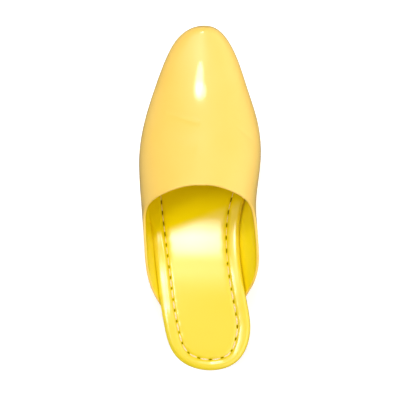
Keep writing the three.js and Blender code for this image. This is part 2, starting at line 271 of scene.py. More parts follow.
@dataclass
class Last:
    """The form that insole, upper and sole are all cut to."""

    length: float = 268.0
    gap: float = 0.3
    wall: float = 2.0
    full_wall_width: float = 16.0
    sole_thickness: float = 4.0
    heel_lift: float = 15.0
    toe_spring: float = 8.0
    arch: Span = (50.0, 172.0)
    spring_from: float = 196.0
    girth_share: float = 0.3
    girth_step: float = 0.3
    crest_share: float = 0.52
    fullness: float = 0.09
    wing_ends: Span = (50.0, 57.0)
    insole_length: float = field(init=False)
    topline_span: Span = field(init=False)
    foot: Curve = field(init=False)
    girth: Curve = field(init=False)
    ridge: Curve = field(init=False)
    topline_lateral: Curve = field(init=False)
    topline_medial: Curve = field(init=False)
    insole_x: Curve = field(init=False)

    def __post_init__(self) -> None:
        """Turns the tables into curves; the ridge goes on past the toe, so it ends upright there."""
        upper, top, edge = columns(UPPER_SECTIONS), columns(TOPLINE), columns(INSOLE_EDGE)
        self.foot = edge_curve(upper["y"], upper["foot_lateral"], upper["foot_medial"], False)
        self.girth = edge_curve(upper["y"], upper["girth_lateral"], upper["girth_medial"], False)
        angle, ridge = angle_of(upper["y"], self.length), upper["ridge"]
        past = slice(-2, -2 - TOE_ROWS, -1)
        at = np.concatenate([angle, TURN - angle[past]])
        self.ridge = Curve(at, np.concatenate([ridge, -ridge[past]]))
        self.topline_lateral = Curve(top["y"], top["lateral"])
        self.topline_medial = Curve(top["y"], top["medial"])
        self.topline_span = (float(top["y"][0]), float(top["y"][-1]))
        self.insole_x = edge_curve(edge["y"], edge["lateral"], edge["medial"], True)
        self.insole_length = float(edge["y"][-1])

    def sole_under(self, y: Array) -> Array:
        """Underside of the sole: heel lift falling over the arch, then a parabolic toe spring."""
        ahead = np.maximum(0, np.asarray(y, float) - self.spring_from) / (self.length - self.spring_from)
        return self.heel_lift * (1 - ease(y, *self.arch)) + self.toe_spring * ahead**2

    def sole_top(self, y: Array) -> Array:
        """Top of the sole sheet."""
        return self.sole_under(y) + self.sole_thickness

    def past_wing_end(self, angle: Array) -> Array:
        """How far a place on the insole's outline lies in front of the wing's end on its side."""
        end = np.where(angle < np.pi, self.wing_ends[0], self.wing_ends[1])
        return station_of(angle, self.insole_length) - end

    def insole_edge(self, angle: Array) -> Array:
        """Points x, y of the insole's outline."""
        return np.stack([self.insole_x(angle), station_of(angle, self.insole_length)], -1)

    def insole_outline(self, angle: Array, inset: Array) -> Array:
        """Insole outline taken in along its own normal.

        Args:
            angle: places round the outline.
            inset: distance inwards, broadcast against angle.

        Returns:
            Points x, y on the last axis.
        """
        along = unit(self.insole_edge(angle + SMALL_TURN) - self.insole_edge(angle - SMALL_TURN))
        inward = np.stack([along[..., 1], -along[..., 0]], -1)
        return self.insole_edge(angle) + np.asarray(inset, float)[..., np.newaxis] * inward

    def upper(self, share: Array, y: Array, wall: float) -> Array:
        """Surface of the upper.

        Below the widest line the wall leans out as a quarter sine; above it the section
        is an ellipse made fuller at its shoulders. The inner face is the same form
        taken in by the wall, and by less where the toe is narrow.

        Args:
            share: 0 at the lateral lower edge, 0.5 on the ridge, 1 at the medial lower edge.
            y: station of each point.
            wall: how far the surface is taken in.

        Returns:
            Points on a last axis of three.
        """
        share, y = np.broadcast_arrays(np.asarray(share, float), np.asarray(y, float))
        medial = share > 0.5
        up = np.where(medial, 2 - 2 * share, 2 * share)
        inward = np.where(medial, -1.0, 1.0)
        angle = angle_of(y * self.length / (self.length - wall), self.length)
        here = np.where(medial, TURN - angle, angle)
        left, right = self.girth(angle), self.girth(TURN - angle)
        taken = wall * np.minimum(1, (right - left) / self.full_wall_width)
        height = self.girth_share * self.ridge(angle)
        rise = self.ridge(angle) - taken - height
        crest = left + (right - left) * self.crest_share
        lean = np.pi / 2 * np.abs(self.girth(here) - self.foot(here)) / np.maximum(height, TINY)
        girth = self.girth(here) + inward * taken
        foot = self.foot(here) + inward * taken * np.hypot(1, lean)
        climb = np.clip(up / self.girth_step, 0, 1)
        turn = np.clip((up - self.girth_step) / (1 - self.girth_step), 0, 1) * np.pi / 2
        low = up < self.girth_step
        x_low = foot + (girth - foot) * np.sin(climb * np.pi / 2)
        x_high = crest + (girth - crest) * np.cos(turn) * (1 + self.fullness * np.sin(turn) ** 2)
        z_high = height + rise * np.sin(turn) * (1 + self.fullness * np.cos(turn) ** 2)
        x = np.where(low, x_low, x_high)
        z = np.where(low, height * climb, z_high) + self.sole_top(y) + self.gap
        return np.stack([x, y, z], -1)

    def topline_station(self, share: Array, trim: float) -> Array:
        """Finds by halving where the topline crosses lines of constant share.

        Args:
            share: the lines.
            trim: how far below the tabled height the wall is cut.

        Returns:
            The station of each crossing.
        """
        low = np.full_like(share, self.topline_span[0])
        high = np.full_like(share, self.topline_span[1])
        for _ in range(HALVINGS):
            mid = (low + high) / 2
            height = self.upper(share, mid, 0.0)[..., 2] - self.sole_top(mid) - self.gap
            top = np.where(share > 0.5, self.topline_medial(mid), self.topline_lateral(mid))
            above = height > top - trim
            low = np.where(above, mid, low)
            high = np.where(above, high, mid)
        return (low + high) / 2


# Meshes


def raised(plan: Array, height: Array) -> Array:
    """Puts each place of a plan at its height."""
    return np.concatenate([plan, height[..., np.newaxis]], -1)


def numbered(points: Array) -> Numbers:
    """Vertex numbers of a grid of points, in its own rows and columns."""
    return np.arange(points[..., 0].size).reshape(points.shape[:-1])


def grid_quads(index: Numbers, closed: bool = False) -> Numbers:
    """Quads of a grid of vertex numbers, row by row.

    Args:
        index: vertex numbers, rows by columns.
        closed: whether the last column joins the first.

    Returns:
        One row of four numbers for each quad.
    """
    beside = np.roll(index, -1, axis=1) if closed else index[:, 1:]
    here = index if closed else index[:, :-1]
    quads = np.stack([here[:-1], here[1:], beside[1:], beside[:-1]], -1)
    return quads.reshape(-1, 4)


def grid_normals(points: Array) -> Array:
    """Unit normals of a grid: the cross product of its two directions.

    Args:
        points: rows by columns by three.

    Returns:
        Normals of the same shape; where the grid comes to a point they face the toe.
    """
    normal = np.cross(np.gradient(points, axis=0), np.gradient(points, axis=1))
    size = np.linalg.norm(normal, axis=-1, keepdims=True)
    return np.where(size > TINY, normal / np.maximum(size, TINY), (0.0, 1.0, 0.0))


def make_mesh(
    name: str,
    points: Array,
    faces: Numbers,
    marks: dict[str, Array] | None = None,
    slots: Numbers | None = None,
) -> bpy.types.Object:
    """Makes a smooth-shaded object from points in millimetres.

    Points that no face uses are dropped. A quad with two equal corners, as at a pole,
    becomes a triangle, and one with no area left is dropped.

    Args:
        name: name of the piece.
        points: points on a last axis of three.
        faces: quads of point numbers.
        marks: values for each point, written as attributes of these names.
        slots: number of the material slot of each quad.

    Returns:
        The object, at the origin.
    """
    flat = points.reshape(-1, 3)
    used, renumbered = np.unique(faces, return_inverse=True)
    corners = renumbered.reshape(-1, 4)
    repeats = corners == np.roll(corners, 1, axis=1)
    whole = ~repeats.any(axis=1)
    pinched = repeats.sum(axis=1) == 1
    triangles = corners[pinched][~repeats[pinched]].reshape(-1, 3)
    mesh = bpy.data.meshes.new(name)
    row = (flat[used] - (0, HALF_LENGTH, 0)) * METRES
    mesh.from_pydata(row.tolist(), [], corners[whole].tolist() + triangles.tolist())
    mesh.polygons.foreach_set("use_smooth", np.ones(len(mesh.polygons), bool))
    if slots is not None:
        order = np.concatenate([slots[whole], slots[pinched]])
        mesh.polygons.foreach_set("material_index", order.astype(np.int32))
    for label, values in (marks or {}).items():
        layer = mesh.attributes.new(label, "FLOAT", "POINT")
        layer.data.foreach_set("value", values.reshape(-1)[used].astype(np.float32))
    mesh.update()
    piece = bpy.data.objects.new(name, mesh)
    bpy.context.collection.objects.link(piece)
    return piece


def stack_piece(name: str, rings: Array) -> bpy.types.Object:
    """Closes a stack of rings with a flat cap at each end.

    Args:
        name: name of the piece.
        rings: levels by points by three, lowest first; the points run from the heel
            up the lateral side and back down the medial, so that each faces its mate.

    Returns:
        The piece.
    """
    index = numbered(rings)
    left = np.arange(rings.shape[1] // 2 + 1)
    right = -left % rings.shape[1]
    floor = grid_quads(np.stack([index[0, right], index[0, left]]))
    roof = grid_quads(np.stack([index[-1, left], index[-1, right]]))
    return make_mesh(name, rings, np.concatenate([grid_quads(index, closed=True), floor, roof]))


# Finishes


def add_node(
    tree: bpy.types.NodeTree,
    kind: str,
    values: dict[str | int, object] | None = None,
    links: dict[str | int, bpy.types.NodeSocket] | None = None,
    **settings: object,
) -> bpy.types.Node:
    """Adds one shader node with its settings and links.

    Args:
        tree: node tree of the material.
        kind: Blender's name of the node type.
        values: input name or number to constant value.
        links: input name or number to the output that feeds it.
        settings: properties of the node itself.

    Returns:
        The node.
    """
    node = tree.nodes.new(kind)
    for name, value in settings.items():
        setattr(node, name, value)
    for name, value in (values or {}).items():
        node.inputs[name].default_value = value
    for name, output in (links or {}).items():
        tree.links.new(output, node.inputs[name])
    return node


@dataclass(frozen=True)
class Surface:
    """A finish, called by what the real material is and how its surface was made."""

    name: str

    def shader(self, tree: bpy.types.NodeTree) -> bpy.types.Node:
        """Adds the finish's nodes to a tree and gives the shader; each finish has its own."""
        raise NotImplementedError

    def material(self) -> bpy.types.Material:
        """Builds the node material.

        Returns:
            The material, with the finish's shader at its output.
        """
        material = bpy.data.materials.new(self.name)
        material.use_nodes = True
        tree = material.node_tree
        tree.nodes.clear()
        shader = self.shader(tree)
        add_node(tree, "ShaderNodeOutputMaterial", links={"Surface": shader.outputs["BSDF"]})
        return material


@dataclass(frozen=True)
class DyedLeather(Surface):
    """Drum-dyed, pigment-finished leather, plated smooth and polished.

    The dye gives a clear even colour with faint clouds, the plating leaves a shallow
    pebble of pores, and the polish a thin clear gloss over a soft sheen. Between two
    stations on a slant the gloss and sheen are taken off and the dye shows deep, as
    painted shade where the vamp hides the footbed's reflection.
    Pores are drawn coarser than real, so that they show.
    """

    colour: str
    cloud: str
    roughness: float
    polish_roughness: float
    polish_ior: float = 1.4
    polish: float = 1.0
    cloud_mm: float = 35.0
    cloud_detail: float = 3.0
    uneven: float = 0.03
    pore_mm: float = 1.4
    pore_depth_mm: float = 0.02
    pore_strength: float = 0.35
    # Dark brown painted into the stitch holes: painted shade
    hole_shade_colour: str = "3C2603"
    painted_shade_band: Span | None = None
    painted_shade_slant: float = 0.4
    unshaded_sheen: float = 0.8

    def shader(self, tree: bpy.types.NodeTree) -> bpy.types.Node:
        """Adds clouds, pores and polish; the colour darkens as painted shade where the hole attribute
        rises.

        Args:
            tree: node tree of the material.

        Returns:
            The shader.
        """
        place = add_node(tree, "ShaderNodeTexCoord").outputs["Object"]
        clouds = add_node(
            tree,
            "ShaderNodeTexNoise",
            {"Scale": 1 / (self.cloud_mm * METRES), "Detail": self.cloud_detail},
            {"Vector": place},
        )
        dyed = add_node(
            tree,
            "ShaderNodeMix",
            {"A": linear(self.colour), "B": linear(self.cloud)},
            {"Factor": clouds.outputs["Fac"]},
            data_type="RGBA",
        )
        hole = add_node(tree, "ShaderNodeAttribute", attribute_name="hole")
        # Painted shade: the colour darkens towards the hole colour in the stitch holes
        hole_shaded = add_node(
            tree,
            "ShaderNodeMix",
            {"B": linear(self.hole_shade_colour)},
            {"Factor": hole.outputs["Fac"], "A": dyed.outputs["Result"]},
            data_type="RGBA",
        )
        pores = add_node(
            tree,
            "ShaderNodeTexVoronoi",
            {"Scale": 1 / (self.pore_mm * METRES)},
            {"Vector": place},
            feature="SMOOTH_F1",
        )
        grain = add_node(
            tree,
            "ShaderNodeBump",
            {"Strength": self.pore_strength, "Distance": self.pore_depth_mm * METRES},
            {"Height": pores.outputs["Distance"]},
        )
        sheen = add_node(
            tree,
            "ShaderNodeMapRange",
            {"To Min": self.roughness - self.uneven, "To Max": self.roughness + self.uneven},
            {"Value": clouds.outputs["Fac"]},
        )
        shader = add_node(
            tree,
            "ShaderNodeBsdfPrincipled",
            {
                "IOR": LEATHER_IOR,
                "Coat Weight": self.polish,
                "Coat Roughness": self.polish_roughness,
                "Coat IOR": self.polish_ior,
            },
            {
                "Base Color": hole_shaded.outputs["Result"],
                "Roughness": sheen.outputs["Result"],
                "Normal": grain.outputs["Normal"],
            },
        )
        # Painted shade: gloss and sheen are taken off over a slanting band and in the stitch holes
        if self.painted_shade_band is not None:
            self.paint_gloss_shade(tree, shader, place, hole.outputs["Fac"])
        return shader

    def paint_gloss_shade(
        self,
        tree: bpy.types.NodeTree,
        shader: bpy.types.Node,
        place: bpy.types.NodeSocket,
        hole: bpy.types.NodeSocket,
    ) -> None:
        """Fades gloss and sheen to nothing, as painted shade: over the slanting band, where the
        vamp hides the footbed's reflection, and in every hole.

        Args:
            tree: node tree of the material.
            shader: the leather's shader.
            place: object coordinates.
            hole: strength of the stitch holes.
        """
        split = add_node(tree, "ShaderNodeSeparateXYZ", links={"Vector": place})
        along = add_node(
            tree,
            "ShaderNodeMath",
            {1: -self.painted_shade_slant},
            {0: split.outputs["X"], 2: split.outputs["Y"]},
            operation="MULTIPLY_ADD",
        )
        painted_shade = add_node(tree, "ShaderNodeMath", links={0: along.outputs[0], 1: hole}, operation="ADD")
        start, end = ((y - HALF_LENGTH) * METRES for y in self.painted_shade_band)
        for socket, most in (("Coat Weight", self.polish), ("Specular IOR Level", self.unshaded_sheen)):
            kept = add_node(
                tree,
                "ShaderNodeMapRange",
                {"From Min": start, "From Max": end, "To Min": most, "To Max": 0.0},
                {"Value": painted_shade.outputs[0]},
                interpolation_type="SMOOTHSTEP",
            )
            tree.links.new(kept.outputs["Result"], shader.inputs[socket])


@dataclass(frozen=True)
class TannedSoleLeather(Surface):
    """Bark-tanned bend leather, rolled hard and waxed.

    It is a dense brown board with a long fibre streak, duller than the upper.
    """

    colour: str
    streak: str
    roughness: float
    streak_mm: float = 3.0
    streak_stretch: float = 4.0
    streak_detail: float = 5.0
    streak_contrast: float = 0.6
    relief_mm: float = 0.05
    relief_strength: float = 0.3

    def shader(self, tree: bpy.types.NodeTree) -> bpy.types.Node:
        """Adds fibre streaks drawn out along the foot, in colour and relief.

        Args:
            tree: node tree of the material.

        Returns:
            The shader.
        """
        place = add_node(tree, "ShaderNodeTexCoord").outputs["Object"]
        drawn = add_node(
            tree, "ShaderNodeMapping", {"Scale": (1.0, 1 / self.streak_stretch, 1.0)}, {"Vector": place}
        )
        fibres = add_node(
            tree,
            "ShaderNodeTexNoise",
            {
                "Scale": 1 / (self.streak_mm * METRES),
                "Detail": self.streak_detail,
                "Roughness": self.streak_contrast,
            },
            {"Vector": drawn.outputs["Vector"]},
        )
        tanned = add_node(
            tree,
            "ShaderNodeMix",
            {"A": linear(self.colour), "B": linear(self.streak)},
            {"Factor": fibres.outputs["Fac"]},
            data_type="RGBA",
        )
        relief = add_node(
            tree,
            "ShaderNodeBump",
            {"Strength": self.relief_strength, "Distance": self.relief_mm * METRES},
            {"Height": fibres.outputs["Fac"]},
        )
        return add_node(
            tree,
            "ShaderNodeBsdfPrincipled",
            {"IOR": LEATHER_IOR, "Roughness": self.roughness},
            {"Base Color": tanned.outputs["Result"], "Normal": relief.outputs["Normal"]},
        )


@dataclass(frozen=True)
class WaxedThread(Surface):
    """Spun polyester thread, twisted and waxed: pale, with fine slanting ply lines.

    The ply is drawn coarser than real, so that it shows.
    """

    colour: str
    ply: str
    ply_mm: float = 0.5
    ply_waver: float = 1.0
    roughness: float = 0.6
    ior: float = 1.5
    fuzz: float = 0.2

    def shader(self, tree: bpy.types.NodeTree) -> bpy.types.Node:
        """Adds the slanting ply lines.

        Args:
            tree: node tree of the material.

        Returns:
            The shader.
        """
        place = add_node(tree, "ShaderNodeTexCoord").outputs["Object"]
        plies = add_node(
            tree,
            "ShaderNodeTexWave",
            {"Scale": 1 / (self.ply_mm * METRES * TURN), "Distortion": self.ply_waver},
            {"Vector": place},
            bands_direction="DIAGONAL",
        )
        spun = add_node(
            tree,
            "ShaderNodeMix",
            {"A": linear(self.colour), "B": linear(self.ply)},
            {"Factor": plies.outputs["Fac"]},
            data_type="RGBA",
        )
        return add_node(
            tree,
            "ShaderNodeBsdfPrincipled",
            {"Roughness": self.roughness, "IOR": self.ior, "Sheen Weight": self.fuzz},
            {"Base Color": spun.outputs["Result"]},
        )


@dataclass(frozen=True)
class FrostedSheet(Surface):
    """Frosted white acrylic sheet, matt and lit from below, so that shadows on it stay faint."""

    colour: str
    glow: float
    glow_colour: str = "FFFFFF"
    roughness: float = 0.9
    gloss: float = 0.1

    def shader(self, tree: bpy.types.NodeTree) -> bpy.types.Node:
        """Adds a matt white that shines a little of its own.

        Args:
            tree: node tree of the material.

        Returns:
            The shader.
        """
        return add_node(
            tree,
            "ShaderNodeBsdfPrincipled",
            {
                "Base Color": linear(self.colour),
                "Roughness": self.roughness,
                "Specular IOR Level": self.gloss,
                "Emission Color": linear(self.glow_colour),
                "Emission Strength": self.glow,
            },
        )


class Finish(Enum):
    """The finishes of the slipper and its floor."""

    # Upper: a warm yellow under a tight bright gloss
    CALF = DyedLeather("polished yellow calf", "FBD164", "F7C84E", roughness=0.45, polish_roughness=0.1)
    # Lining: a clear lemon, made lighter than the footbed's kid as painted light on the lining walls;
    # its gloss softer than the upper's
    KID = DyedLeather("glazed yellow kid", "FBE206", "F9DE05", roughness=0.4, polish_roughness=0.18)
    # Footbed: the same kid in a deeper yellow, glossier, with gloss and sheen taken off in front of the
    # waist as painted shade
    BED = DyedLeather(
        "glazed yellow kid footbed",
        "F1D505",
        "EED104",
        roughness=0.3,
        polish_roughness=0.18,
        polish_ior=1.45,
        painted_shade_band=(112.0, 122.0),
    )
    # Sole and heel: satin tan boards, the heel a shade darker
    SOLE = TannedSoleLeather("waxed sole leather", "B98A55", "96683A", roughness=0.5)
    HEEL = TannedSoleLeather("waxed heel leather", "A87A48", "845830", roughness=0.48)
    # Stitches: a pale cream line, dull beside the leather
    THREAD = WaxedThread("waxed cream thread", "FDE8C2", "EFCF9E")
    # Floor: an even white without gloss
    SHEET = FrostedSheet("frosted white acrylic", "F4F4F2", glow=0.42)

    def material(self) -> bpy.types.Material:
        """Builds the finish's node material."""
        return self.value.material()


# Pieces


@dataclass
class Crease:
    """A soft trough across the upper, straight when seen from above."""

    start: Place
    end: Place
    depth: float
    width: float

    def sink(self, points: Array) -> Array:
        """Depth of the trough: a bell across it, fading as a root of the sine to both ends.

        Args:
            points: points on a last axis of three.

        Returns:
            How far each point sinks.
        """
        start, end = np.array(self.start), np.array(self.end)
        run = end - start
        share = np.clip((points[..., :2] - start) @ run / (run @ run), 0, 1)
        beside = points[..., :2] - start - share[..., np.newaxis] * run
        away = np.linalg.norm(beside, axis=-1)
        return self.depth * np.sin(np.pi * share) ** 0.5 * np.exp(-((away / self.width) ** 2))


@dataclass
class Upper:
    """Vamp and wings in one piece of leather, lined, with a rounded topline."""

    last: Last
    lines: int = 240
    rows: int = 140
    trace_points: int = 2001
    crowding: float = 0.7
    rim_steps: int = 8
    lined_from: float = 0.75
    trim: float = 0.5
    margin_in: float = 8.0
    margin_edge: float = 0.6
    margin_shift: Span = (-1.0, 1.6)
    margin_floor: float = 0.1
    margin_top: float = 1.8
    margin_grows: Span = (-2.7, 1.5)
    margin_points: int = 300
    margin_round: int = 16
    creases: tuple[Crease, ...] = (
        Crease((-37, 181), (-3, 170), 0.6, 6.0),
        Crease((-26, 199), (0, 190), 0.6, 2.2),
        Crease((22, 194), (43, 176), 0.6, 2.2),
        Crease((18, 142), (40, 131), 0.18, 3.0),
    )

    def shares(self) -> Array:
        """Spreads the lines half evenly over the section, half evenly along the topline.

        Returns:
            Share of the section for each line.
        """
        fine = np.linspace(0, 1, self.trace_points)
        along = travelled(self.last.upper(fine, self.last.topline_station(fine, self.trim), 0.0))
        mixed = 0.5 * fine + 0.5 * along / along[-1]
        return np.interp(np.linspace(0, 1, self.lines + 1), mixed, fine)

    def face(self, shares: Array, top: Array, wall: float) -> Array:
        """One face of the wall, from the toe's point back to the topline.

        Rows close up towards the toe as t squared times (2 - t), and t itself runs
        ever slower towards the topline.

        Args:
            shares: the lines.
            top: station of the topline on each line.
            wall: how far the face is taken in.

        Returns:
            Rows by lines by three.
        """
        t = np.linspace(0, 1, self.rows + 1)[:, np.newaxis]
        t = t * (1 + self.crowding - self.crowding * t)
        tip = self.last.length - wall
        return self.last.upper(shares, tip - (tip - top) * t * t * (2 - t), wall)

    def crease(self, outer: Array) -> Array:
        """Sinks the creases into the outer face, along its own normals."""
        sunk = sum(crease.sink(outer) for crease in self.creases)
        return outer - sunk[..., np.newaxis] * grid_normals(outer)

    def margin(self) -> tuple[Array, Numbers]:
        """Lower edge of the upper, turned in between sole and insole.

        A flat rounded bar, wide along the fourth root of a circle and high along its
        square root, is carried along the insole's outline from wing to wing; it grows
        from nothing at both ends.

        Returns:
            Its points and its quads.
        """
        last = self.last
        ends = np.array(last.wing_ends) + self.margin_grows[0]
        lateral, medial = angle_of(ends, last.insole_length)
        angle = np.linspace(lateral, TURN - medial, self.margin_points)[:, np.newaxis]
        upper_angle = angle_of(station_of(angle, last.insole_length), last.length)
        foot = last.foot(np.where(angle < np.pi, upper_angle, TURN - upper_angle))
        outward = (foot - last.insole_x(angle)) * np.where(angle < np.pi, -1.0, 1.0)
        outer = np.clip(-outward, *self.margin_shift) + self.margin_edge
        grown = ease(last.past_wing_end(angle), *self.margin_grows)
        turn = np.arange(self.margin_round) * TURN / self.margin_round
        across = np.sign(np.cos(turn)) * np.abs(np.cos(turn)) ** 0.25
        upward = np.sign(np.sin(turn)) * np.abs(np.sin(turn)) ** 0.5
        wide = (self.margin_in - outer) / 2 * grown**0.25
        plan = last.insole_outline(angle, outer + wide + wide * across)
        thick = (self.margin_top - self.margin_floor) * grown
        height = self.margin_floor + thick * (1 + upward) / 2
        points = raised(plan, last.sole_top(plan[..., 1]) + last.gap + height)
        index = numbered(points)
        index[0], index[-1] = index[0, 0], index[-1, 0]
        return points, grid_quads(index, closed=True)

    def build(self) -> bpy.types.Object:
        """Builds outer face, rounded rim and lining as one closed skin.

        The rim is a half circle from the outer to the inner edge, bulging away from
        the leather along the cross product of topline and wall.

        Returns:
            The piece, with the outer leather first and the lining second.
        """
        shares = self.shares()
        top = self.last.topline_station(shares, self.trim)
        outer = self.crease(self.face(shares, top, 0.0))
        inner = self.face(shares, top, self.last.wall)
        radius = (outer[-1] - inner[-1]) / 2
        off = np.cross(unit(np.gradient(outer[-1], axis=0)), radius)
        turn = np.linspace(0, np.pi, self.rim_steps + 2)[1:-1, np.newaxis, np.newaxis]
        rim = (outer[-1] + inner[-1]) / 2 + np.cos(turn) * radius + np.sin(turn) * off
        skin = np.concatenate([outer, rim, inner[::-1]])
        index = numbered(skin)
        index[0], index[-1] = index[0, 0], index[-1, 0]
        half = skin.shape[0] // 2
        front, back = index[:half], index[::-1][:half]
        lateral = grid_quads(np.stack([back[:, 0], front[:, 0]], 1))
        medial = grid_quads(np.stack([front[:, -1], back[:, -1]], 1))
        turned, turned_faces = self.margin()
        faces = np.concatenate([grid_quads(index), lateral, medial, turned_faces + index.size])
        points = np.concatenate([skin.reshape(-1, 3), turned.reshape(-1, 3)])
        lined = np.arange(skin.shape[0] - 1) >= self.rows + 1 + self.lined_from * self.rim_steps
        slots = np.concatenate(
            [
                np.repeat(lined, self.lines),
                np.ones(len(lateral) + len(medial), bool),
                np.zeros(len(turned_faces), bool),
            ]
        )
        piece = make_mesh("upper_leather", points, faces, slots=slots.astype(np.int64))
        piece.data.materials.append(Finish.CALF.material())
        piece.data.materials.append(Finish.KID.material())
        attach(piece, "root")
        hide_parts("upper")
        return piece


class RimKnot(NamedTuple):
    """One knot of the insole's section, and how far each state of the rim moves it.

    The first five columns add up to its inset from the edge: a distance, a share of the
    groove's own inset, and moves with the outer side's lean, with the flush edge and with
    the panel's shoulder. The others add up to its height over the sole.
    """

    inset: float = 0.0
    groove: float = 0.0
    lean: float = 0.0
    flush: float = 0.0
    shoulder: float = 0.0
    height: float = 0.0
    step_up: float = 0.0
    lean_up: float = 0.0
    flush_up: float = 0.0
    bevel_up: float = 0.0
    shoulder_up: float = 0.0


GROOVE_FLOOR = 6.3
# From the underside round the rolled rim, over its top and through the groove to the panel
INSOLE_SECTION = (
    RimKnot(inset=2.0, groove=1.0, step_up=1.0),
    RimKnot(inset=3.0, step_up=1.0),
    RimKnot(inset=1.3, height=0.96, step_up=0.8),
    RimKnot(inset=0.35, height=2.64, step_up=0.45),
    RimKnot(flush=-0.2, height=4.8),
    RimKnot(inset=0.5, flush=-1.4, height=6.6, bevel_up=-0.7),
    RimKnot(1.8, lean=0.5, flush=-2.8, height=7.6, lean_up=0.25, flush_up=0.1, bevel_up=-1.0),
    RimKnot(4.4, lean=1.3, flush=-1.2, height=8.2, flush_up=-0.2, bevel_up=-0.55),
    RimKnot(inset=-2.6, groove=1.0, lean=0.6, height=7.85, lean_up=0.27),
    RimKnot(inset=-1.0, groove=1.0, height=7.1),
    RimKnot(groove=1.0, height=GROOVE_FLOOR),
    RimKnot(inset=0.9, groove=1.0, height=6.75),
    RimKnot(inset=2.6, groove=1.0, height=7.2),
    RimKnot(inset=2.8, groove=1.0, shoulder=1.0, height=7.2, shoulder_up=0.03),
)


